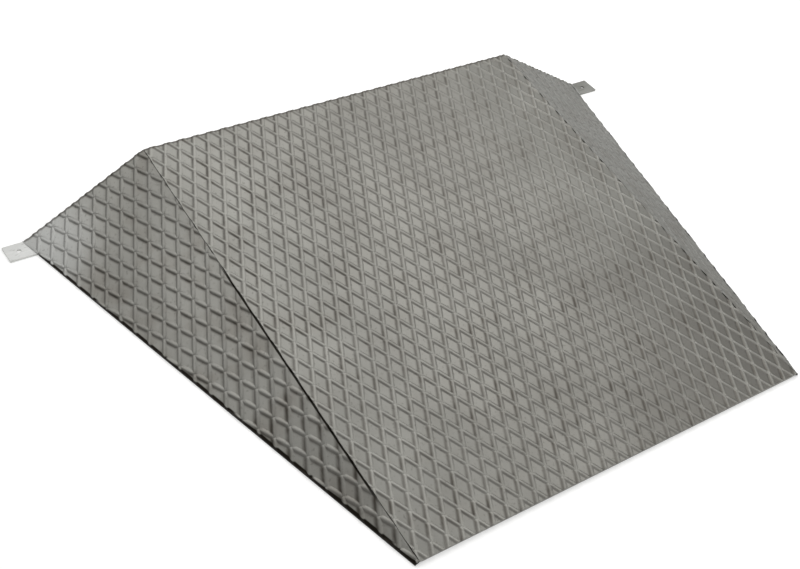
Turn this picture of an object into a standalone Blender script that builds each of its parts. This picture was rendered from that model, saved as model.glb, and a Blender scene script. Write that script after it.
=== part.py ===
# Access ramp: a sloped tread-plate deck with a triangular wing down each side, welded over a frame of
# tapered stringers, and held to the floor by a drilled ear at each rear corner.
# Units are metres. X runs across the ramp, +Y points at its high end, +Z is up.
# The origin is on the floor, under the middle of the ramp.

import bpy
import bmesh
from math import radians, sqrt

# Overall size
deck_width = 0.914
base_width = 1.420
run = 0.990
rise = 0.152

# Sheet, measured over its raised pattern, and the joints between pieces
plate_thickness = 0.0045
seam_gap = 0.0003
ridge_chamfer = 0.0015

# Tapered bar under the front edge
toe_height = 0.0045
toe_bar_width = 0.050
toe_setback = 0.0015
toe_bar_end_gap = 0.008

# Upright plate across the high end, and the blunt tips of what tapers down to the floor
rear_plate_thickness = 0.005
blunt_height = 0.004

# Tapered stringers with a bent foot
stringer_thickness = 0.005
stringer_foot = 0.030
stringer_bend = 0.004
stringer_edge_inset = 0.012
stringer_names = ("left_edge", "left_inner", "centre", "right_inner", "right_edge")

# Flat bars between the stringers
cross_bar_thickness = 0.005
cross_bar_depth = 0.040
cross_bar_from_wall = 0.450

# Webs under the wings
gusset_thickness = 0.005
gusset_rear_from_wall = 0.300
gusset_front_from_wall = 0.600

# Drilled ears on the floor
ear_reach = 0.044
ear_depth = 0.044
ear_thickness = 0.0045
ear_prep = 0.0027
ear_edge_bevel = 0.0004
ear_hole_diameter = 0.009
ear_hole_from_end = 0.026
ear_hole_sides = 32

# Weld beads
bead_leg = 0.004
bead_crown = 0.0006
bead_length = 0.150
bead_from_end = 0.060
ridge_bead_half_width = 0.004
ridge_bead_throat = 0.003
ridge_bead_from_front = 0.060

# Places that follow from the sizes above
deck_half = deck_width / 2
base_half = base_width / 2
wall_y = run / 2
front_y = -run / 2
wing_start = deck_half + seam_gap


def fall_for(height, reach, level):
    # Fall per metre of a sheet that drops its own thickness and this reach within this height
    t = plate_thickness
    return (height * reach - t * sqrt(height ** 2 + level * (reach ** 2 - t ** 2))) / (reach ** 2 - t ** 2)


# Slopes of the deck and the wings, and the height of the sheet's thickness when cut upright
deck_slope = fall_for(rise - toe_height - seam_gap, run, 1.0)
deck_drop = plate_thickness * sqrt(1 + deck_slope ** 2)
front_height = toe_height + seam_gap + deck_drop
wing_fall = fall_for(rise, base_half - wing_start, 1 + deck_slope ** 2)
wing_drop = plate_thickness * sqrt(1 + deck_slope ** 2 + wing_fall ** 2)
wing_front_half = wing_start + (front_height - wing_drop) / wing_fall

toe_bar_front = front_y + toe_setback
toe_bar_back = toe_bar_front + toe_bar_width
stringer_front = toe_bar_back + seam_gap
stringer_back = wall_y - rear_plate_thickness - seam_gap
stringer_reach = deck_half - stringer_edge_inset - stringer_thickness / 2
stringer_spacing = 2 * stringer_reach / (len(stringer_names) - 1)
cross_bar_back = wall_y - cross_bar_from_wall
cross_bar_front = cross_bar_back - cross_bar_thickness
ear_end = base_half + ear_reach

# Corners cut away so that a bead passes: under a ridge, and beside a stringer
ridge_relief = ridge_bead_half_width + ridge_bead_throat / wing_fall
bead_relief = 2 * (bead_leg + bead_crown)

# Across the slanting floor edge of a wing, distance measured along X for each metre square to it
edge_skew = sqrt(1 + ((base_half - wing_front_half) / run) ** 2)


def deck_top(y):
    return front_height + deck_slope * (y - front_y)


def deck_under(y):
    return deck_top(y) - deck_drop


def wing_top(x, y):
    return deck_top(y) - wing_fall * (x - wing_start)


def wing_under(x, y):
    return wing_top(x, y) - wing_drop


def wing_x_at(under, y):
    # Distance from the middle at which the wing's underside is this high
    return wing_start + (deck_top(y) - wing_drop - under) / wing_fall


def floor_edge_x(y):
    # The wing's upright cut edge along the floor, seen from above
    share = (wall_y - y) / run
    return base_half + (wing_front_half - base_half) * share


def make_material(name, colour, roughness, metallic):
    material = bpy.data.materials.new(name)
    material.use_nodes = True
    shader = material.node_tree.nodes["Principled BSDF"]
    shader.inputs["Base Color"].default_value = (*colour, 1.0)
    shader.inputs["Roughness"].default_value = roughness
    shader.inputs["Metallic"].default_value = metallic
    return material


def shade_round(mesh):
    mesh.shade_smooth()
    mesh.set_sharp_from_angle(angle=radians(30))


def add_object(name, mesh_builder, material):
    builder = bmesh.new()
    mesh_builder(builder)
    bmesh.ops.recalc_face_normals(builder, faces=builder.faces)
    mesh = bpy.data.meshes.new(name)
    builder.to_mesh(mesh)
    builder.free()
    mesh.materials.append(material)
    shade_round(mesh)
    new_object = bpy.data.objects.new(name, mesh)
    bpy.context.scene.collection.objects.link(new_object)
    return new_object


def loft(builder, first, second):
    # A closed solid between two outlines with the same number of points
    count = len(first)
    start = [builder.verts.new(point) for point in first]
    end = [builder.verts.new(point) for point in second]
    builder.faces.new(start)
    builder.faces.new(end)
    for i in range(count):
        j = (i + 1) % count
        builder.faces.new((start[i], start[j], end[j], end[i]))
    return start, end


def mirrored(points, side):
    return [(side * x, y, z) for x, y, z in points]


def bevel_edge(builder, vert_a, vert_b, size, segments=1):
    edge = builder.edges.get((vert_a, vert_b))
    bmesh.ops.bevel(builder, geom=[edge], offset=size, segments=segments, profile=0.5, affect="EDGES")


def build_deck(builder):
    def outline(y):
        top = deck_top(y)
        under = deck_under(y)
        return [(-deck_half, y, top), (deck_half, y, top), (deck_half, y, under), (-deck_half, y, under)]

    front, back = loft(builder, outline(front_y), outline(wall_y))
    for corner in (0, 1):
        bevel_edge(builder, front[corner], back[corner], ridge_chamfer)


def wing_builder(side):
    def build(builder):
        plan = [(wing_start, front_y), (wing_start, wall_y), (base_half, wall_y), (wing_front_half, front_y)]
        top = mirrored([(x, y, wing_top(x, y)) for x, y in plan], side)
        under = mirrored([(x, y, wing_under(x, y)) for x, y in plan], side)
        upper, lower = loft(builder, top, under)
        bevel_edge(builder, upper[0], upper[1], ridge_chamfer)

    return build


def build_rear_plate(builder):
    def outline(y):
        end = wing_x_at(blunt_height + seam_gap, y)
        inner = deck_half - ridge_relief
        outer = wing_start + ridge_relief
        half = [(inner, deck_under(y) - seam_gap), (outer, wing_under(outer, y) - seam_gap),
                (end, blunt_height), (end, 0.0)]
        left = [(-x, z) for x, z in reversed(half)]
        return [(x, y, z) for x, z in half + left]

    loft(builder, outline(wall_y - rear_plate_thickness), outline(wall_y))


def build_toe_bar(builder):
    half = deck_half - toe_bar_end_gap

    def outline(x):
        return [(x, toe_bar_front, 0.0), (x, toe_bar_back, 0.0),
                (x, toe_bar_back, deck_under(toe_bar_back) - seam_gap),
                (x, toe_bar_front, deck_under(toe_bar_front) - seam_gap)]

    loft(builder, outline(-half), outline(half))


def stringer_middle(index):
    return -stringer_reach + index * stringer_spacing


def foot_side(index):
    # Each foot turns towards the middle of the ramp, and the centre one towards +X
    return -1 if stringer_middle(index) > seam_gap else 1


def stringer_face(index, side):
    return stringer_middle(index) + side * stringer_thickness / 2


def stringer_builder(index):
    side = foot_side(index)
    heel = stringer_face(index, -side)
    inside = stringer_face(index, side)
    toe = heel + side * stringer_foot

    def outline(y):
        top = deck_under(y) - seam_gap
        return [(heel, y, 0.0), (toe, y, 0.0), (toe, y, stringer_thickness), (inside, y, stringer_thickness),
                (inside, y, top), (heel, y, top)]

    def build(builder):
        front, back = loft(builder, outline(stringer_front), outline(stringer_back))
        bevel_edge(builder, front[0], back[0], stringer_bend, segments=3)

    return build


def cross_bar_builder(index):
    left = stringer_face(index, 1) + seam_gap
    right = stringer_face(index + 1, -1) - seam_gap
    bottom = deck_under(cross_bar_front) - cross_bar_depth

    def outline(y):
        # Both top corners are cut back, so that the stringers' beads pass
        top = deck_under(y) - seam_gap
        return [(left, y, bottom), (right, y, bottom), (right, y, top - bead_relief),
                (right - bead_relief, y, top), (left + bead_relief, y, top), (left, y, top - bead_relief)]

    def build(builder):
        loft(builder, outline(cross_bar_front), outline(cross_bar_back))

    return build


def gusset_builder(side, from_wall):
    back = wall_y - from_wall
    front = back - gusset_thickness
    inner = stringer_reach + stringer_thickness / 2 + seam_gap

    def outline(y):
        # The corner under the ridge is cut away, so that the ridge's bead passes
        end = wing_x_at(blunt_height + seam_gap, y)
        outer = wing_start + ridge_relief
        notch = wing_under(outer, y) - seam_gap
        points = [(inner, y, 0.0), (end, y, 0.0), (end, y, blunt_height), (outer, y, notch),
                  (inner, y, notch)]
        return mirrored(points, side)

    def build(builder):
        loft(builder, outline(front), outline(back))

    return build


def ear_builder(side):
    def build(builder):
        front = wall_y - ear_depth
        gap = seam_gap * edge_skew
        plan = [(floor_edge_x(wall_y) + gap, wall_y), (ear_end, wall_y), (ear_end, front),
                (floor_edge_x(front) + gap, front)]
        top = mirrored([(x, y, ear_thickness) for x, y in plan], side)
        bottom = mirrored([(x, y, 0.0) for x, y in plan], side)
        upper, lower = loft(builder, top, bottom)
        # The top inner edge is cut back for the weld
        bevel_edge(builder, upper[3], upper[0], ear_prep)

    return build


def add_ear(name, side, material):
    ear = add_object(name, ear_builder(side), material)
    bpy.ops.mesh.primitive_cylinder_add(vertices=ear_hole_sides, radius=ear_hole_diameter / 2,
                                        depth=4 * ear_thickness)
    cutter = bpy.context.active_object
    cutter.name = name + "_drill"
    cutter.location = (side * (ear_end - ear_hole_from_end), wall_y - ear_depth / 2, ear_thickness / 2)
    cutter.hide_render = True
    cutter.display_type = "WIRE"
    shade_round(cutter.data)
    drill = ear.modifiers.new("drill", "BOOLEAN")
    drill.operation = "DIFFERENCE"
    drill.solver = "EXACT"
    drill.object = cutter
    bevel = ear.modifiers.new("bevel", "BEVEL")
    bevel.width = ear_edge_bevel
    bevel.segments = 1
    bevel.limit_method = "ANGLE"


def ear_weld_builder(side):
    slant = seam_gap * sqrt(2)
    low = ear_thickness - ear_prep + slant
    wide = ear_prep + seam_gap - slant

    def outline(y):
        edge = floor_edge_x(y)
        profile = [(seam_gap, low), (wide, ear_thickness), (wide / 2, (ear_thickness + wing_drop) / 2 + bead_crown),
                   (seam_gap, wing_drop)]
        return mirrored([(edge + across * edge_skew, y, z) for across, z in profile], side)

    def build(builder):
        loft(builder, outline(wall_y - ear_depth), outline(wall_y))

    return build


def stringer_weld_builder(index, back):
    side = foot_side(index)
    face = stringer_face(index, side)
    leg = seam_gap + bead_leg
    middle = seam_gap + bead_leg / 2 + bead_crown

    def outline(y):
        # A fillet under the deck: across from the stringer's face, and down from the deck
        under = deck_under(y)
        profile = [(seam_gap, seam_gap), (leg, seam_gap), (middle, middle), (seam_gap, leg)]
        return [(face + side * across, y, under - down) for across, down in profile]

    def build(builder):
        loft(builder, outline(back - bead_length), outline(back))

    return build


def ridge_weld_builder(side):
    reach = ridge_bead_half_width
    throat = ridge_bead_throat

    def outline(y):
        inner = deck_half - reach
        outer = wing_start + reach
        points = [(inner, y, deck_under(y) - seam_gap),
                  (wing_start, y, wing_under(wing_start, y) - seam_gap),
                  (outer, y, wing_under(outer, y) - seam_gap),
                  (wing_start + reach / 2, y, wing_under(outer, y) - seam_gap - throat / 2),
                  (deck_half - reach / 2, y, wing_under(wing_start, y) - seam_gap - throat)]
        return mirrored(points, side)

    def build(builder):
        loft(builder, outline(front_y + ridge_bead_from_front), outline(stringer_back))

    return build


def build_ramp():
    for old in list(bpy.data.objects):
        bpy.data.objects.remove(old, do_unlink=True)

    tread = make_material("tread_plate", (0.27, 0.265, 0.24), 0.42, 0.85)
    bar = make_material("mill_bar", (0.40, 0.40, 0.39), 0.50, 0.90)
    ear = make_material("ear_plate", (0.62, 0.63, 0.61), 0.40, 0.85)
    bead = make_material("weld_bead", (0.50, 0.50, 0.49), 0.35, 0.95)

    add_object("deck_plate", build_deck, tread)
    add_object("rear_plate", build_rear_plate, bar)
    add_object("toe_bar", build_toe_bar, bar)

    rear_bead = stringer_back - bead_from_end
    front_bead = stringer_front + bead_from_end + bead_length
    for index, name in enumerate(stringer_names):
        add_object("stringer_" + name, stringer_builder(index), bar)
        add_object("weld_" + name + "_rear", stringer_weld_builder(index, rear_bead), bead)
        add_object("weld_" + name + "_front", stringer_weld_builder(index, front_bead), bead)
    for index in range(len(stringer_names) - 1):
        add_object("cross_bar_" + str(index + 1), cross_bar_builder(index), bar)

    for side, hand in ((-1, "left"), (1, "right")):
        add_object(hand + "_wing_plate", wing_builder(side), tread)
        add_object(hand + "_gusset_rear", gusset_builder(side, gusset_rear_from_wall), bar)
        add_object(hand + "_gusset_front", gusset_builder(side, gusset_front_from_wall), bar)
        add_object(hand + "_ridge_weld", ridge_weld_builder(side), bead)
        add_ear(hand + "_ear", side, ear)
        add_object(hand + "_ear_weld", ear_weld_builder(side), bead)


build_ramp()
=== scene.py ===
import bpy
from math import atan2, ceil, cos, floor, pi, radians, sin, sqrt
from mathutils import Matrix, Vector


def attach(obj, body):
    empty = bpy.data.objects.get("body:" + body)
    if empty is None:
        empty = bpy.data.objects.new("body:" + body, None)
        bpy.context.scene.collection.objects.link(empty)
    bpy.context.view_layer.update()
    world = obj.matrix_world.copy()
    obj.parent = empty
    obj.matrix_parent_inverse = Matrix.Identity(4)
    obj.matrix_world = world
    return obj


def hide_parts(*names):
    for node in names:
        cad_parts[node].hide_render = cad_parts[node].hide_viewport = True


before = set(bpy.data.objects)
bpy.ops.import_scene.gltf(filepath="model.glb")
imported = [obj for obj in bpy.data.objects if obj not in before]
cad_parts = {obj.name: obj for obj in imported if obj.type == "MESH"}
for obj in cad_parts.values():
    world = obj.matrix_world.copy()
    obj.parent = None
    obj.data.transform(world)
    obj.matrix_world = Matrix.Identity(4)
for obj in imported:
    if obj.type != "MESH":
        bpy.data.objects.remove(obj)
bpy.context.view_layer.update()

# The ramp's own sizes, as the CAD has them. X runs across the ramp and +Y points at its high end.
ramp = {
    "deckHalf": 0.457,
    "baseHalf": 0.710,
    "rearY": 0.495,
    "frontY": -0.495,
    "rise": 0.152,
    "frontHeight": 0.0093465,
    "wingStart": 0.4573,
    "wingFall": 0.580752,
    "wingFrontHalf": 0.464364,
    "plate": 0.0045,        # over the lugs
}
ramp["run"] = ramp["rearY"] - ramp["frontY"]
ramp["slope"] = (ramp["rise"] - ramp["frontHeight"]) / ramp["run"]
ramp["deckTilt"] = sqrt(1 + ramp["slope"] ** 2)
ramp["wingTilt"] = sqrt(1 + ramp["slope"] ** 2 + ramp["wingFall"] ** 2)

nearEnough = 0.0001         # two places closer than this are the same corner
cutNearness = 0.000001      # a corner closer than this to a cut lies on it


def deckTop(y):
    return ramp["frontHeight"] + ramp["slope"] * (y - ramp["frontY"])


def wingTop(x, y):
    return deckTop(y) - ramp["wingFall"] * (abs(x) - ramp["wingStart"])


# Working in edit mode

def clearSelection():
    if bpy.context.mode != "OBJECT":
        bpy.ops.object.mode_set(mode="OBJECT")
    bpy.ops.object.select_all(action="DESELECT")


def workOn(piece):
    clearSelection()
    piece.select_set(True)
    bpy.context.view_layer.objects.active = piece


def openMesh(piece, mode="VERT"):
    workOn(piece)
    bpy.ops.object.mode_set(mode="EDIT")
    bpy.ops.mesh.select_mode(type=mode)
    bpy.ops.mesh.select_all(action="DESELECT")


def closeMesh():
    bpy.ops.object.mode_set(mode="OBJECT")


def faceOutwards():
    bpy.ops.mesh.select_all(action="SELECT")
    bpy.ops.mesh.normals_make_consistent(inside=False)


def selectWhere(piece, kind, test):
    # kind is vertices or edges; test is given a vertex's place, or the places of an edge's two ends
    bpy.ops.mesh.select_all(action="DESELECT")
    bpy.ops.object.mode_set(mode="OBJECT")
    mesh = piece.data
    for item in getattr(mesh, kind):
        if kind == "vertices":
            item.select = test(item.co)
        else:
            item.select = test(*[mesh.vertices[end].co for end in item.vertices])
    bpy.ops.object.mode_set(mode="EDIT")


def settle(piece):
    # The piece's place goes into its mesh
    workOn(piece)
    bpy.ops.object.transform_apply(location=True, rotation=True, scale=True)


def copyOf(piece, name):
    twin = piece.copy()
    twin.data = piece.data.copy()
    twin.name = name
    bpy.context.scene.collection.objects.link(twin)
    return twin


def joined(first, others):
    clearSelection()
    for other in others:
        other.select_set(True)
    first.select_set(True)
    bpy.context.view_layer.objects.active = first
    bpy.ops.object.join()
    return first


def repeat(piece, step, count):
    row = piece.modifiers.new("row", "ARRAY")
    row.use_relative_offset = False
    row.use_constant_offset = True
    row.constant_offset_displace = step
    row.count = count
    workOn(piece)
    bpy.ops.object.modifier_apply(modifier=row.name)


def trim(piece, point, outward):
    # Cuts away what lies beyond a plane and closes each cut end by itself, because neighbours overlap
    openMesh(piece)
    bpy.ops.mesh.select_all(action="SELECT")
    bpy.ops.mesh.bisect(plane_co=point, plane_no=outward, clear_outer=True, threshold=cutNearness)
    bpy.ops.mesh.select_all(action="SELECT")
    bpy.ops.mesh.fill_holes(sides=0)
    faceOutwards()
    closeMesh()


# Small steps in a material

def feed(tree, socket, value):
    # A socket takes another node's output or a plain value
    if isinstance(value, bpy.types.NodeSocket):
        tree.links.new(value, socket)
    else:
        socket.default_value = value


def addMath(tree, operation, *values, clamp=False):
    node = tree.nodes.new("ShaderNodeMath")
    node.operation = operation
    node.use_clamp = clamp
    for socket, value in zip(node.inputs, values):
        feed(tree, socket, value)
    return node.outputs[0]


def addVectorMath(tree, operation, *values):
    node = tree.nodes.new("ShaderNodeVectorMath")
    node.operation = operation
    for socket, value in zip(node.inputs, values):
        feed(tree, socket, value)
    return node.outputs["Value"]


def addRamp(tree, value, low, high, outLow=0.0, outHigh=1.0, smooth=True):
    node = tree.nodes.new("ShaderNodeMapRange")
    node.interpolation_type = "SMOOTHSTEP" if smooth else "LINEAR"
    tree.links.new(value, node.inputs["Value"])
    for label, number in (("From Min", low), ("From Max", high), ("To Min", outLow), ("To Max", outHigh)):
        feed(tree, node.inputs[label], number)
    return node.outputs["Result"]


def addNoise(tree, vector, scale, detail, roughness):
    node = tree.nodes.new("ShaderNodeTexNoise")
    tree.links.new(vector, node.inputs["Vector"])
    feed(tree, node.inputs["Scale"], scale)
    node.inputs["Detail"].default_value = detail
    node.inputs["Roughness"].default_value = roughness
    return node.outputs["Fac"]


def addTint(tree, factor, first, second, share=None):
    # Goes from the first colour to the second as the factor does, or only a share of the way
    if share is not None:
        factor = addMath(tree, "MULTIPLY", factor, share)
    node = tree.nodes.new("ShaderNodeMix")
    node.data_type = "RGBA"
    tree.links.new(factor, node.inputs["Factor"])
    for label, value in (("A", first), ("B", second)):
        socket = [s for s in node.inputs if s.name == label and s.type == "RGBA"][0]
        feed(tree, socket, (*value, 1) if isinstance(value, tuple) else value)
    return [s for s in node.outputs if s.type == "RGBA"][0]


def axesOf(tree, vector):
    node = tree.nodes.new("ShaderNodeSeparateXYZ")
    tree.links.new(vector, node.inputs[0])
    return node.outputs


def stretched(tree, place, scale):
    node = tree.nodes.new("ShaderNodeMapping")
    node.inputs["Scale"].default_value = scale
    tree.links.new(place, node.inputs["Vector"])
    return node.outputs["Vector"]


def addBump(tree, shader, height, distance, strength):
    bump = tree.nodes.new("ShaderNodeBump")
    bump.inputs["Distance"].default_value = distance
    bump.inputs["Strength"].default_value = strength
    tree.links.new(height, bump.inputs["Height"])
    tree.links.new(bump.outputs["Normal"], shader.inputs["Normal"])


# Camera, floor and light

studio = {
    "cameraAt": (-1.366, -1.3457, 1.6799),
    "cameraTurn": (47.9789, -8.0261, -34.5023),
    "lens": 57.179,
    "sensorWidth": 36.0,
    "clipStart": 0.05,
    "floorSize": 90.0,
    "floorColour": (0.90, 0.90, 0.89),
    "floorRoughness": 0.9,
    "floorOwnWhite": (0.32, 0.62),      # near the ramp, and far off where the lamps don't reach
    "floorFarFrom": (1.2, 4.5),
    "worldLevel": 0.40,
    "lampAim": (0.0, 0.0, 0.05),
    "lamps": {                  # turn goes from +Y towards +X, rise goes up from the floor
        "mainLamp": {"turn": 44, "rise": 55, "away": 3.0, "size": 3.2, "power": 42.0},
        "leftLamp": {"turn": -42, "rise": 45, "away": 3.0, "size": 2.2, "power": 13.0},
        "rightLamp": {"turn": 120, "rise": 35, "away": 3.0, "size": 1.8, "power": 15.0},
        "frontLamp": {"turn": 185, "rise": 50, "away": 3.0, "size": 2.4, "power": 9.0},
    },
}


def buildCamera():
    cameraData = bpy.data.cameras.new("rampCamera")
    cameraData.sensor_width = studio["sensorWidth"]
    cameraData.lens = studio["lens"]
    cameraData.clip_start = studio["clipStart"]
    camera = bpy.data.objects.new("rampCamera", cameraData)
    camera.location = studio["cameraAt"]
    camera.rotation_euler = [radians(turn) for turn in studio["cameraTurn"]]
    bpy.context.scene.collection.objects.link(camera)
    bpy.context.scene.camera = camera
    print("camera:", studio["lens"], "mm lens")


def buildFloor():
    clearSelection()
    bpy.ops.mesh.primitive_plane_add(size=studio["floorSize"], location=(0, 0, 0))
    floorPiece = bpy.context.active_object
    floorPiece.name = "studioFloor"
    paint = bpy.data.materials.new("studioFloor")
    paint.use_nodes = True
    tree = paint.node_tree
    matt = tree.nodes["Principled BSDF"]
    matt.inputs["Base Color"].default_value = (*studio["floorColour"], 1)
    matt.inputs["Roughness"].default_value = studio["floorRoughness"]
    matt.inputs["Specular IOR Level"].default_value = 0.0
    path = tree.nodes.new("ShaderNodeLightPath")    # the floor's own white is seen and lights nothing
    seen = path.outputs["Is Camera Ray"]
    for ray in ("Is Glossy Ray", "Is Transmission Ray"):
        seen = addMath(tree, "MAXIMUM", seen, path.outputs[ray])
    away = addVectorMath(tree, "LENGTH", tree.nodes.new("ShaderNodeTexCoord").outputs["Object"])
    ownWhite = addRamp(tree, away, *studio["floorFarFrom"], *studio["floorOwnWhite"])
    glow = tree.nodes.new("ShaderNodeEmission")
    tree.links.new(addMath(tree, "MULTIPLY", seen, ownWhite), glow.inputs["Strength"])
    both = tree.nodes.new("ShaderNodeAddShader")
    tree.links.new(matt.outputs[0], both.inputs[0])
    tree.links.new(glow.outputs[0], both.inputs[1])
    tree.links.new(both.outputs[0], tree.nodes["Material Output"].inputs["Surface"])
    floorPiece.data.materials.append(paint)
    print("floor:", studio["floorSize"], "m across")


def buildLight():
    scene = bpy.context.scene
    world = bpy.data.worlds.new("studioWorld")
    world.use_nodes = True
    sky = world.node_tree.nodes["Background"]
    sky.inputs["Color"].default_value = (1, 1, 1, 1)
    sky.inputs["Strength"].default_value = studio["worldLevel"]
    scene.world = world
    for name, lamp in studio["lamps"].items():
        lampData = bpy.data.lights.new(name, "AREA")
        lampData.shape = "SQUARE"
        lampData.size = lamp["size"]
        lampData.energy = lamp["power"]
        light = bpy.data.objects.new(name, lampData)
        turn, rise = radians(lamp["turn"]), radians(lamp["rise"])
        outward = Vector((sin(turn) * cos(rise), cos(turn) * cos(rise), sin(rise)))
        light.location = Vector(studio["lampAim"]) + lamp["away"] * outward
        light.rotation_euler = (-outward).to_track_quat("-Z", "Y").to_euler()
        light.visible_camera = False
        scene.collection.objects.link(light)
    scene.view_settings.view_transform = "Standard"
    print("light:", len(studio["lamps"]), "lamps")


# Shader groups shared by the metal finishes

handling = {
    "patches": {"detail": 4.0, "roughness": 0.6},
    "patchRange": (0.34, 0.66),
    "specks": {"detail": 2.0, "roughness": 0.7},
    "speckRange": (0.58, 0.74),
}
rolling = {
    "lines": {"detail": 2.0, "roughness": 0.6},
    "clouds": {"detail": 4.0, "roughness": 0.6},
}


def newGroup(name, inputs, outputs):
    group = bpy.data.node_groups.new(name, "ShaderNodeTree")
    for label, kind, value in inputs:
        socket = group.interface.new_socket(name=label, in_out="INPUT", socket_type="NodeSocket" + kind)
        if value is not None:
            socket.default_value = value
    for label, kind in outputs:
        group.interface.new_socket(name=label, in_out="OUTPUT", socket_type="NodeSocket" + kind)
    return group, group.nodes.new("NodeGroupInput").outputs, group.nodes.new("NodeGroupOutput").inputs


def buildHandlingGroup():
    # Broad patches where feet and weather have dulled the metal, and small specks of dirt
    group, given, made = newGroup("handlingMarks", [
        ("Place", "Vector", None), ("Patch Scale", "Float", 5.0), ("Speck Scale", "Float", 160.0),
    ], [("Patches", "Float"), ("Specks", "Float")])
    patches = addNoise(group, given["Place"], given["Patch Scale"], **handling["patches"])
    group.links.new(addRamp(group, patches, *handling["patchRange"]), made["Patches"])
    specks = addNoise(group, given["Place"], given["Speck Scale"], **handling["specks"])
    group.links.new(addRamp(group, specks, *handling["speckRange"]), made["Specks"])
    return group


def buildGrainGroup():
    # Fine lines left by rolling or drawing, along the stretched axis of the given place
    group, given, made = newGroup("rollingGrain", [
        ("Place", "Vector", None), ("Line Scale", "Float", 900.0), ("Cloud Scale", "Float", 70.0),
    ], [("Lines", "Float"), ("Clouds", "Float")])
    lines = addNoise(group, given["Place"], given["Line Scale"], **rolling["lines"])
    clouds = addNoise(group, given["Place"], given["Cloud Scale"], **rolling["clouds"])
    group.links.new(lines, made["Lines"])
    group.links.new(clouds, made["Clouds"])
    return group


def buildLugGroup():
    # Where a point lies in the rhombic pattern: on a lug's crown, in the band of dirt and painted shade
    # along one side of it, or on the ground between the lugs. Distances are shares of the spacing of the
    # lugs. A side's sign says which side takes the dirt and painted shade, and a side nearer 0 spreads it
    # wider.
    group, given, made = newGroup("lugPattern", [
        ("Place", "Vector", None),
        ("First Wave", "Vector", (35.0, 15.0, 0.0)), ("First Shift", "Float", 0.0),
        ("First Side", "Float", -1.0), ("First Dirt", "Float", 1.0),
        ("Second Wave", "Vector", (35.0, -15.0, 0.0)), ("Second Shift", "Float", 0.0),
        ("Second Side", "Float", -1.0), ("Second Dirt", "Float", 1.0),
        ("Crown Reach", "Float", 0.07), ("Body Start", "Float", 0.05), ("Body End", "Float", 0.18),
        ("Dirt Start", "Float", -0.05), ("Dirt Middle", "Float", 0.11), ("Dirt End", "Float", 0.26),
    ], [("Crown", "Float"), ("Foot", "Float"), ("Ground", "Float")])
    nearest, bodies, bands = [], [], []
    for which in ("First", "Second"):
        phase = addVectorMath(group, "DOT_PRODUCT", given["Place"], given[which + " Wave"])
        phase = addMath(group, "SUBTRACT", phase, given[which + " Shift"])
        # the signed distance to the nearest whole number, where the middle of a lug is
        fold = addMath(group, "FRACT", addMath(group, "ADD", phase, 0.5))
        across = addMath(group, "SUBTRACT", fold, 0.5)
        nearest.append(addMath(group, "ABSOLUTE", across))
        bodies.append(addRamp(group, nearest[-1], given["Body Start"], given["Body End"]))
        aside = addMath(group, "MULTIPLY", across, given[which + " Side"])
        inside = addRamp(group, aside, given["Dirt Start"], given["Dirt Middle"])
        outside = addRamp(group, aside, given["Dirt End"], given["Dirt Middle"])
        band = addMath(group, "MULTIPLY", inside, outside)
        bands.append(addMath(group, "MULTIPLY", band, given[which + " Dirt"]))
    near = addMath(group, "MINIMUM", nearest[0], nearest[1])
    group.links.new(addRamp(group, near, given["Crown Reach"], 0.0), made["Crown"])
    # a lug's dirt and painted shade stop where the crossing lug begins
    first = addMath(group, "MULTIPLY", bands[0], bodies[1])
    second = addMath(group, "MULTIPLY", bands[1], bodies[0])
    group.links.new(addMath(group, "MAXIMUM", first, second), made["Foot"])
    group.links.new(addMath(group, "MULTIPLY", bodies[0], bodies[1]), made["Ground"])
    return group


handlingMarks = buildHandlingGroup()
rollingGrain = buildGrainGroup()
lugPattern = buildLugGroup()


def useGroup(tree, group, **values):
    node = tree.nodes.new("ShaderNodeGroup")
    node.node_tree = group
    for label, value in values.items():
        feed(tree, node.inputs[label.replace("_", " ")], value)
    return node.outputs


def newMetal(name, metallic):
    material = bpy.data.materials.new(name)
    material.use_nodes = True
    tree = material.node_tree
    shader = tree.nodes["Principled BSDF"]
    shader.inputs["Metallic"].default_value = metallic
    place = tree.nodes.new("ShaderNodeTexCoord").outputs["Object"]
    return material, tree, shader, place


def addRoughness(tree, shader, finish, marks, grain):
    # Dulled patches are rougher, and so are the grain's lines
    rough = addRamp(tree, marks["Patches"], 0.0, 1.0, *finish["roughness"], smooth=False)
    lines = addMath(tree, "MULTIPLY", grain["Lines"], finish["lineRoughness"])
    tree.links.new(addMath(tree, "ADD", rough, lines, clamp=True), shader.inputs["Roughness"])


treadFinish = {
    "clean": (0.300, 0.296, 0.272),
    "dulled": (0.268, 0.264, 0.242),
    "worn": (0.34, 0.336, 0.312),
    # also the colour of the painted shade beside the lugs and along the rear edge, as well as of the specks
    "grime": (0.072, 0.065, 0.055),
    "shadedTone": (0.195, 0.187, 0.169),
    # painted shade for the darker middle and front right of the deck
    "smudge": (0.162, 0.138, 0.112),
    # painted light for the lighter patches on the wings
    "pale": (0.50, 0.505, 0.49),
    # painted shadow along the floor edge, and painted shade along the ridge
    "edgeShade": (0.014, 0.012, 0.009),
    "metallic": 1.0,
    "roughness": (0.38, 0.44),
    "lineRoughness": 0.08,
    "patchScale": 4.0,
    "smudges": {"scale": 13.0, "detail": 3.0, "roughness": 0.6},
    "smudgeRange": (0.44, 0.68),
    "smudgedDirt": (0.78, 1.25),            # the lugs' dirt and painted shade outside the smudges and in them
    "cloudyDirt": (0.30, 0.62, 0.70, 1.0),  # the grain's clouds, thin and thick, and the lugs' dirt and painted shade there
    "dirtAlong": (-0.42, -0.72),            # along the slope: from the rear's amount to the front's
    "rearShadeBand": (0.4885, 0.4925),           # along Y: where the painted shade along the rear edge starts and is full
    "rearShare": 0.7,
    "wornShare": 0.15,
    "speckShare": 0.35,
    "edgeShadeFade": 0.0012,
    "grainStretch": (1.0, 0.06, 1.0),
    "lineRelief": 0.5,
    "bump": 0.0002,
    "bumpStrength": 0.30,
}


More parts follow.
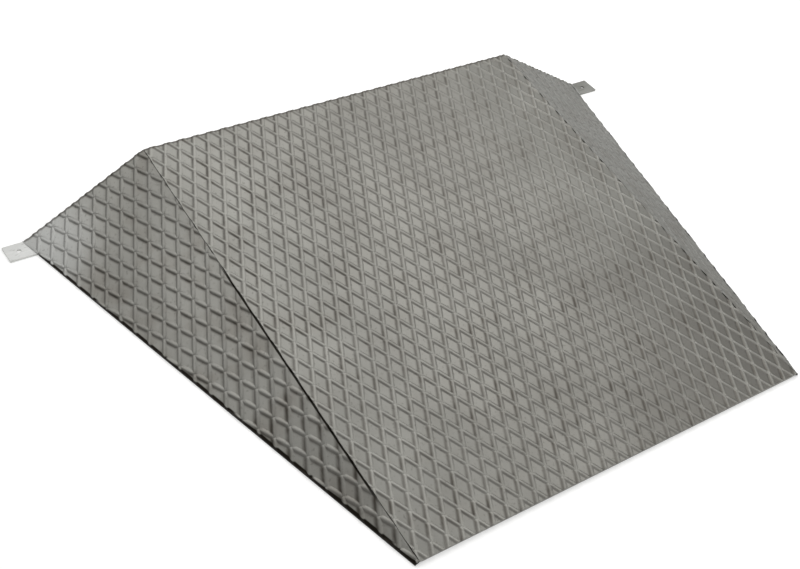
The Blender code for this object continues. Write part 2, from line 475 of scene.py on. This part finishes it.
def buildTreadFinish(name, plate):
    finish = treadFinish
    material, tree, shader, place = newMetal(name, finish["metallic"])
    local = tree.nodes.new("ShaderNodeMapping")     # into the plate's own plane
    local.vector_type = "TEXTURE"
    local.inputs["Location"].default_value = plate["origin"]
    local.inputs["Rotation"].default_value = plate["turn"]
    tree.links.new(place, local.inputs["Vector"])
    flat = local.outputs["Vector"]
    onPlate, inSpace = axesOf(tree, flat), axesOf(tree, place)
    settings = {}
    for index, which in enumerate(("First_", "Second_")):
        side, atRear, atFront = plate["dirt"][index]
        settings[which + "Wave"] = plate["waves"][index]
        settings[which + "Shift"] = plate["shifts"][index]
        settings[which + "Side"] = side
        settings[which + "Dirt"] = addRamp(tree, onPlate["Y"], *finish["dirtAlong"], atRear, atFront)
    if "firstFade" in plate:
        fade = addRamp(tree, onPlate["X"], *plate["firstFade"])
        settings["First_Dirt"] = addMath(tree, "MULTIPLY", settings["First_Dirt"], fade)
    lug = useGroup(tree, lugPattern, Place=flat, **settings)
    marks = useGroup(tree, handlingMarks, Place=flat, Patch_Scale=finish["patchScale"])
    grain = useGroup(tree, rollingGrain, Place=stretched(tree, flat, finish["grainStretch"]))
    smudges = addRamp(tree, addNoise(tree, flat, **finish["smudges"]), *finish["smudgeRange"])

    # painted shade: a dark band on one side of each lug stands for its shaded flank, along with dirt at its
    # foot
    footGrimeAndShade = addMath(tree, "MULTIPLY", lug["Foot"], addRamp(tree, grain["Clouds"], *finish["cloudyDirt"]))
    inSmudges = addRamp(tree, smudges, 0.0, 1.0, *finish["smudgedDirt"], smooth=False)
    footGrimeAndShade = addMath(tree, "MULTIPLY", footGrimeAndShade, inSmudges, clamp=True)
    colour = addTint(tree, marks["Patches"], finish["clean"], finish["dulled"])
    colour = addTint(tree, lug["Crown"], colour, finish["worn"], finish["wornShare"])
    colour = addTint(tree, smudges, colour, finish["smudge"], plate["smudged"])
    if "lane" in plate:                             # painted shade: the middle of the deck is darker
        middle = addRamp(tree, addMath(tree, "ABSOLUTE", onPlate["X"]), *plate["lane"]["reach"])
        colour = addTint(tree, middle, colour, finish["shadedTone"], plate["lane"]["share"])
    for patch in plate["patches"]:
        away = addVectorMath(tree, "DISTANCE", place, patch["at"])
        inPatch = addRamp(tree, away, *patch["reach"], 0.0, patch["share"])
        if patch["onLugs"] < 1:                     # the lugs take less of it than the ground does
            taken = addRamp(tree, lug["Ground"], 0.0, 1.0, patch["onLugs"], 1.0, smooth=False)
            inPatch = addMath(tree, "MULTIPLY", inPatch, taken)
        colour = addTint(tree, inPatch, colour, finish[patch["metal"]])
        if patch["clean"]:
            footGrimeAndShade = addMath(tree, "MULTIPLY", footGrimeAndShade, addMath(tree, "SUBTRACT", 1.0, inPatch))
    colour = addTint(tree, footGrimeAndShade, colour, finish["grime"])
    # painted shade: a dark line along the rear edge
    rearShadeLine = addRamp(tree, inSpace["Y"], *finish["rearShadeBand"], 0.0, finish["rearShare"])
    colour = addTint(tree, rearShadeLine, colour, finish["grime"])
    colour = addTint(tree, marks["Specks"], colour, finish["grime"], finish["speckShare"])
    if "edgeShade" in plate:                          # painted shadow: the floor edge in front of the ear is painted nearly black
        edge = plate["edgeShade"]
        limit = addRamp(tree, inSpace["Y"], edge["from"][1], ramp["frontY"], *edge["top"], smooth=False)
        above = addMath(tree, "SUBTRACT", inSpace["Z"], limit)
        low = addRamp(tree, above, finish["edgeShadeFade"], 0.0)
        low = addMath(tree, "MULTIPLY", low, addRamp(tree, inSpace["Y"], *edge["from"]))
        colour = addTint(tree, low, colour, finish["edgeShade"])
    if "ridgeShade" in plate:                             # painted shade along the ridge, beside the bead
        ridgeShade = addRamp(tree, addMath(tree, "ABSOLUTE", onPlate["X"]), *plate["ridgeShade"]["reach"])
        for end in ("from", "to"):
            ridgeShade = addMath(tree, "MULTIPLY", ridgeShade, addRamp(tree, inSpace["Y"], *plate["ridgeShade"][end]))
        colour = addTint(tree, ridgeShade, colour, finish["edgeShade"])
    tree.links.new(colour, shader.inputs["Base Color"])

    addRoughness(tree, shader, finish, marks, grain)
    relief = addMath(tree, "MULTIPLY", grain["Lines"], finish["lineRelief"])
    relief = addMath(tree, "ADD", relief, grain["Clouds"])
    addBump(tree, shader, relief, finish["bump"], finish["bumpStrength"])
    return material


# Tread plates: a flat sheet with lugs rolled up on it in a rhombic mesh

lugShape = {
    "width": 0.0120,
    "rise": 0.0015,
    "sunk": 0.0003,
    "shoulder": {"height": 0.69, "width": 0.50, "length": 0.93},
    "crown": {"width": 0.50, "length": 0.93},       # both as shares of the shoulder's
    "endTaper": 0.60,
    "taperFrom": 0.66,
    "smoothBelow": 38,                              # degrees between two faces that still shade as one
}


def buildLug(name, length):
    lug = lugShape
    clearSelection()
    bpy.ops.mesh.primitive_plane_add(size=1, location=(0, 0, -lug["sunk"]))
    piece = bpy.context.active_object
    piece.name = name
    piece.scale = (length, lug["width"], 1)
    settle(piece)
    openMesh(piece)
    for side in (-1, 1):                            # a cut near each end, where the lug starts to narrow
        bpy.ops.mesh.select_all(action="SELECT")
        bpy.ops.mesh.bisect(plane_co=(side * length / 2 * lug["taperFrom"], 0, 0), plane_no=(1, 0, 0))
    selectWhere(piece, "vertices", lambda co: abs(co.x) > length / 2 - nearEnough)
    bpy.ops.transform.resize(value=(1, lug["endTaper"], 1), center_override=(0, 0, 0))
    fullRise = lug["rise"] + lug["sunk"]
    shoulder, crown = lug["shoulder"], lug["crown"]
    steps = ((fullRise * shoulder["height"], shoulder["width"], shoulder["length"]),
             (fullRise * (1 - shoulder["height"]), crown["width"], crown["length"]))
    bpy.ops.mesh.select_mode(type="FACE")
    bpy.ops.mesh.select_all(action="SELECT")
    for up, narrow, shorten in steps:
        bpy.ops.mesh.extrude_region_move(TRANSFORM_OT_translate={"value": (0, 0, up)})
        bpy.ops.transform.resize(value=(shorten, narrow, 1), center_override=(0, 0, 0))
    faceOutwards()
    closeMesh()
    return piece


def latticeOf(pattern):
    # Columns give the step on the plate for one cell across and one cell along
    return Matrix((pattern["across"], pattern["along"])).inverted()


def buildLugField(name, pattern, reach, matrix):
    # reach is the plate's box in its own plane: least X, greatest X, least Y, greatest Y
    back = latticeOf(pattern)
    node = pattern["node"]
    cell = []
    for lean, sign in (("left", 1), ("right", -1)):
        lugLine = back @ Vector((sign, 1))
        angle = atan2(lugLine.y, lugLine.x)
        lug = buildLug(name + lean, pattern["lugLength"][lean])
        # a cell holds two lugs of each lean, with their middles a quarter of a cell from a crossing
        for half in (0.0, 0.5):
            twin = copyOf(lug, name + lean + "Twin")
            middle = back @ Vector((node[0] + half + 0.25 * sign, node[1] + half + 0.25))
            twin.location = (middle.x, middle.y, 0)
            twin.rotation_euler = (0, 0, angle)
            settle(twin)
            cell.append(twin)
        bpy.data.objects.remove(lug)
    field = joined(cell[0], cell[1:])
    field.name = name

    corners = [(x, y) for x in reach[:2] for y in reach[2:]]
    across = [pattern["across"][0] * x + pattern["across"][1] * y for x, y in corners]
    along = [pattern["along"][0] * x + pattern["along"][1] * y for x, y in corners]
    spare = pattern["spareCells"]
    firstAcross, firstAlong = floor(min(across)) - spare, floor(min(along)) - spare
    start = back @ Vector((firstAcross, firstAlong))
    field.location = (start.x, start.y, 0)
    settle(field)
    stepAcross, stepAlong = back @ Vector((1, 0)), back @ Vector((0, 1))
    repeat(field, (stepAcross.x, stepAcross.y, 0), ceil(max(across)) - firstAcross + spare)
    repeat(field, (stepAlong.x, stepAlong.y, 0), ceil(max(along)) - firstAlong + spare)
    field.matrix_world = matrix @ Matrix.Translation((0, 0, -pattern["sheetTop"]))
    settle(field)
    return field


def trimEnds(field):
    trim(field, (0, ramp["rearY"], 0), (0, 1, 0))
    trim(field, (0, ramp["frontY"], 0), (0, -1, 0))


def planeMatrix(x, fall):
    # A plate's own plane starts on the rear edge at x. Its Y runs up the slope and its Z stands out of it.
    upSlope = Vector((0, 1, ramp["slope"])).normalized()
    normal = Vector((fall, -ramp["slope"], 1)).normalized()
    across = upSlope.cross(normal)
    turned = Matrix((across, upSlope, normal)).transposed().to_4x4()
    return Matrix.Translation((x, ramp["rearY"], ramp["rise"])) @ turned


def flatSheet(name, middleX, width):
    clearSelection()
    bpy.ops.mesh.primitive_plane_add(size=1, location=(middleX, 0, 0))
    sheet = bpy.context.active_object
    sheet.name = name
    sheet.scale = (width, ramp["run"], 1)
    settle(sheet)
    return sheet


def raiseSheet(piece, heightAt, thickness):
    # Tilts a flat outline corner by corner, then gives it its thickness
    openMesh(piece)
    for corner in [v.co.copy() for v in piece.data.vertices]:
        selectWhere(piece, "vertices", lambda co: (co.xy - corner.xy).length < nearEnough)
        bpy.ops.transform.translate(value=(0, 0, heightAt(corner.x, corner.y) - corner.z))
    bpy.ops.mesh.select_mode(type="FACE")
    bpy.ops.mesh.select_all(action="SELECT")
    bpy.ops.mesh.extrude_region_move(TRANSFORM_OT_translate={"value": (0, 0, thickness)})
    faceOutwards()
    closeMesh()


def roundRidges(sheet, ridges, middle, width):
    # Bevels the long upper edges at these places across the ramp; middle is how far the middle of the
    # sheet's thickness lies under the ramp's top
    def isRidge(a, b):
        atRidge = any(abs(a.x - x) < nearEnough and abs(b.x - x) < nearEnough for x in ridges)
        return atRidge and abs(a.y - b.y) > ramp["run"] / 2 and a.z > deckTop(a.y) - middle

    openMesh(sheet, "EDGE")
    selectWhere(sheet, "edges", isRidge)
    bpy.ops.mesh.bevel(offset=width, segments=2, affect="EDGES")
    closeMesh()


def waves(pattern):
    across, along = Vector(pattern["across"]), Vector(pattern["along"])
    first, second = across - along, across + along
    return (first.x, first.y, 0), (second.x, second.y, 0)


def shifts(pattern):
    # The lugs of one lean lie on whole numbers of the first wave, the others on the second
    across, along = pattern["node"]
    return across - along, across + along


def finishTread(piece, name, pattern, matrix):
    plate = {**pattern, "origin": matrix.translation, "turn": matrix.to_euler(),
             "waves": waves(pattern), "shifts": shifts(pattern)}
    piece.data.materials.clear()
    piece.data.materials.append(buildTreadFinish(name, plate))
    workOn(piece)
    bpy.ops.object.shade_smooth_by_angle(angle=radians(lugShape["smoothBelow"]))
    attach(piece, "root")


treadSheet = {
    "sheetTop": 0.0015,            # how far the flat sheet lies below the lugs' crowns
    "ridgeBevel": 0.0015,
    "lugInset": 0.0004,            # the lugs stop this far from a ridge
    "spareCells": 2,               # laid past the plate on every side, then trimmed off
}
deckTread = {
    **treadSheet,
    "across": (31.572, 0.062),     # pattern cells per metre, along the plate's X and up its slope
    "along": (0.088, -15.708),
    "node": (0.67, 0.36),          # a crossing of the lugs, in cells across and along
    "lugLength": {"left": 0.0335, "right": 0.0395},
    # for each lean of lugs: the side that takes dirt and painted shade (nearer 0 spreads it wider), and how
    # much at the rear and front
    "dirt": ((-1.0, 0.80, 0.50), (-0.80, 0.62, 0.80)),
    "firstFade": (-0.40, 0.05, 1.0, 0.25),     # the first lean's dirt and painted shade, from the left to the right
    "smudged": 0.12,
    "lane": {"reach": (0.38, 0.16), "share": 0.35},     # off the middle: where it ends and where it is full
    "patches": [
        # painted shade towards the front right corner, with the lugs kept lighter as a painted reflection
        {"at": (0.457, -0.495, 0.01), "reach": (0.56, 0.10), "share": 0.72, "metal": "shadedTone",
         "onLugs": 0.28, "clean": False},
    ],
}


def buildDeck():
    deck = deckTread
    lower, full = deck["sheetTop"] * ramp["deckTilt"], ramp["plate"] * ramp["deckTilt"]
    sheet = flatSheet("deckTread", 0, 2 * ramp["deckHalf"])
    raiseSheet(sheet, lambda x, y: deckTop(y) - full, full - lower)
    roundRidges(sheet, (-ramp["deckHalf"], ramp["deckHalf"]), (full + lower) / 2, deck["ridgeBevel"])

    matrix = planeMatrix(0, 0)
    reach = (-ramp["deckHalf"], ramp["deckHalf"], -ramp["run"] * ramp["deckTilt"], 0)
    field = buildLugField("deckLugs", deck, reach, matrix)
    for side in (-1, 1):
        trim(field, (side * (ramp["deckHalf"] - deck["lugInset"]), 0, 0), (side, 0, 0))
    trimEnds(field)
    piece = joined(sheet, [field])
    finishTread(piece, "deckTreadPlate", deck, matrix)
    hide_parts("deck_plate")
    print("deck: sheet and lugs,", len(piece.data.polygons), "faces")


wingTread = {
    **treadSheet,
    "across": (30.709, 1.0665),    # here X runs outwards from the ridge
    "along": (-0.3665, -15.4795),
    "node": (0.495, -0.09),
    "lugLength": {"left": 0.0395, "right": 0.0335},
    # painted shade with dirt on one side of each lug, for each lean
    "dirt": ((0.60, 0.25, 1.0), (0.80, 0.80, 0.55)),
    "smudged": 0.28,
    "edgeShade": {"from": (0.453, 0.445), "top": (0.0048, 0.0060)},   # along Y; height at the ear, at the tip
    "marginAcross": 0.01,          # lugs are laid this far past the wing's outline, then trimmed
    "marginUp": 0.05,
}
leftWing = {
    # painted shade along the left ridge
    "ridgeShade": {"reach": (0.0048, 0.0030), "from": (0.20, 0.14), "to": (-0.40, -0.34)},
    "patches": [
        # painted light: the rear outer corner by the ear is lighter, without the lugs' dirt and painted
        # shade
        {"at": (-0.710, 0.475, 0.0), "reach": (0.195, 0.03), "share": 0.78, "metal": "pale",
         "onLugs": 1.0, "clean": True},
    ],
}
rightWing = {
    "patches": [
        # painted light: the right wing is a little lighter all over
        {"at": (0.710, 0.475, 0.0), "reach": (1.10, 0.10), "share": 0.24, "metal": "pale",
         "onLugs": 1.0, "clean": False},
    ],
}


def buildWing(side, name, node, wear):
    wing = {**wingTread, **wear}
    for way in ("across", "along"):
        wing[way] = (side * wing[way][0], wing[way][1])
    lower, full = wing["sheetTop"] * ramp["wingTilt"], ramp["plate"] * ramp["wingTilt"]
    inner, outer, tip = side * ramp["wingStart"], side * ramp["baseHalf"], side * ramp["wingFrontHalf"]
    sheet = flatSheet(name, (inner + outer) / 2, abs(outer - inner))
    openMesh(sheet)                                 # the front outer corner comes in to the tip
    selectWhere(sheet, "vertices", lambda co: abs(co.x - outer) < nearEnough and co.y < 0)
    bpy.ops.transform.translate(value=(tip - outer, 0, 0))
    closeMesh()
    raiseSheet(sheet, lambda x, y: wingTop(x, y) - full, full - lower)
    roundRidges(sheet, (inner,), (full + lower) / 2, wing["ridgeBevel"])

    matrix = planeMatrix(inner, side * ramp["wingFall"])
    wide, long = (outer - inner) * sqrt(1 + ramp["wingFall"] ** 2), ramp["run"] * ramp["deckTilt"]
    margin = wing["marginAcross"]
    reach = (min(0, wide) - margin, max(0, wide) + margin, -long, wing["marginUp"])
    field = buildLugField(name + "Lugs", wing, reach, matrix)
    trim(field, (inner + side * wing["lugInset"], 0, 0), (-side, 0, 0))
    trimEnds(field)
    floorEdge = Vector((outer - tip, ramp["run"], 0))
    outward = Vector((side * floorEdge.y, -side * floorEdge.x, 0)).normalized()
    trim(field, (outer, ramp["rearY"], 0), outward)
    piece = joined(sheet, [field])
    finishTread(piece, name + "Plate", wing, matrix)
    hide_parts(node)
    print(name + ": sheet and lugs,", len(piece.data.polygons), "faces")


# Plain finishes for the bars, ears and beads

plainFinish = {
    "lineRange": (0.40, 0.62), "lineShare": 0.30, "lineRoughness": 0.10, "speckShare": 0.4,
    "bump": 0.0001, "bumpStrength": 0.35,
}
barFinish = {
    **plainFinish,
    "clean": (0.405, 0.405, 0.395), "dulled": (0.350, 0.350, 0.340), "grime": (0.14, 0.13, 0.12),
    "roughness": (0.38, 0.50), "metallic": 0.75, "patchScale": 9.0, "stretch": 0.05,
}
# painted light: the left ear is the same metal as the right one, painted much lighter
litLeftEarFinish = {
    **plainFinish,
    "clean": (0.80, 0.805, 0.785), "dulled": (0.70, 0.705, 0.685), "grime": (0.25, 0.24, 0.22),
    "roughness": (0.34, 0.50), "metallic": 0.20, "patchScale": 26.0, "stretch": 0.08,
}
rightEarFinish = {
    **plainFinish,
    "clean": (0.33, 0.33, 0.31), "dulled": (0.24, 0.24, 0.22), "grime": (0.11, 0.10, 0.08),
    "roughness": (0.38, 0.54), "metallic": 0.60, "patchScale": 26.0, "stretch": 0.08,
}
beadFinish = {
    **plainFinish,
    "clean": (0.52, 0.52, 0.51), "dulled": (0.36, 0.36, 0.35), "grime": (0.15, 0.14, 0.13),
    "roughness": (0.28, 0.46), "metallic": 0.85, "patchScale": 40.0, "stretch": 1.0, "bump": 0.0004,
    "ripples": 420.0, "rippleBend": 2.5, "rippleLines": 0.3,     # more ripples make finer rings
}


def buildPlainFinish(name, finish, drawnAlong):
    material, tree, shader, place = newMetal(name, finish["metallic"])
    stretch = [finish["stretch"] if axis == drawnAlong else 1.0 for axis in "XYZ"]
    lessDrawn = stretched(tree, place, [sqrt(share) for share in stretch])
    marks = useGroup(tree, handlingMarks, Place=lessDrawn, Patch_Scale=finish["patchScale"])
    grain = useGroup(tree, rollingGrain, Place=stretched(tree, place, stretch))
    colour = addTint(tree, marks["Patches"], finish["clean"], finish["dulled"])
    lines = addRamp(tree, grain["Lines"], *finish["lineRange"], 0.0, finish["lineShare"])
    colour = addTint(tree, lines, colour, finish["dulled"])
    colour = addTint(tree, marks["Specks"], colour, finish["grime"], finish["speckShare"])
    tree.links.new(colour, shader.inputs["Base Color"])
    addRoughness(tree, shader, finish, marks, grain)
    relief = grain["Lines"]
    if "ripples" in finish:                         # the solidified rings of a weld
        wave = tree.nodes.new("ShaderNodeTexWave")
        wave.bands_direction = "Y"
        wave.inputs["Scale"].default_value = finish["ripples"] / (2 * pi)
        wave.inputs["Distortion"].default_value = finish["rippleBend"]
        tree.links.new(place, wave.inputs["Vector"])
        relief = addMath(tree, "MULTIPLY", relief, finish["rippleLines"])
        relief = addMath(tree, "ADD", wave.outputs["Fac"], relief)
    addBump(tree, shader, relief, finish["bump"], finish["bumpStrength"])
    return material


def dressCad():
    acrossBar = buildPlainFinish("millBarAcross", barFinish, "X")
    alongBar = buildPlainFinish("millBarAlong", barFinish, "Y")
    ears = {"left_ear": buildPlainFinish("litLeftEarPlate", litLeftEarFinish, "X"),
            "right_ear": buildPlainFinish("rightEarPlate", rightEarFinish, "X")}
    bead = buildPlainFinish("weldBead", beadFinish, "X")
    for name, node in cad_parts.items():
        if "weld" in name:
            finish = bead
        elif name in ears:
            finish = ears[name]
        elif name.startswith("stringer"):
            finish = alongBar
        else:
            finish = acrossBar
        for slot in node.material_slots:
            slot.material = finish
        if not node.material_slots:
            node.data.materials.append(finish)
    print("finishes:", len(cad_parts), "CAD nodes")


buildCamera()
buildFloor()
buildLight()
dressCad()
buildDeck()
buildWing(-1, "leftWingTread", "left_wing_plate", leftWing)
buildWing(1, "rightWingTread", "right_wing_plate", rightWing)

clearSelection()
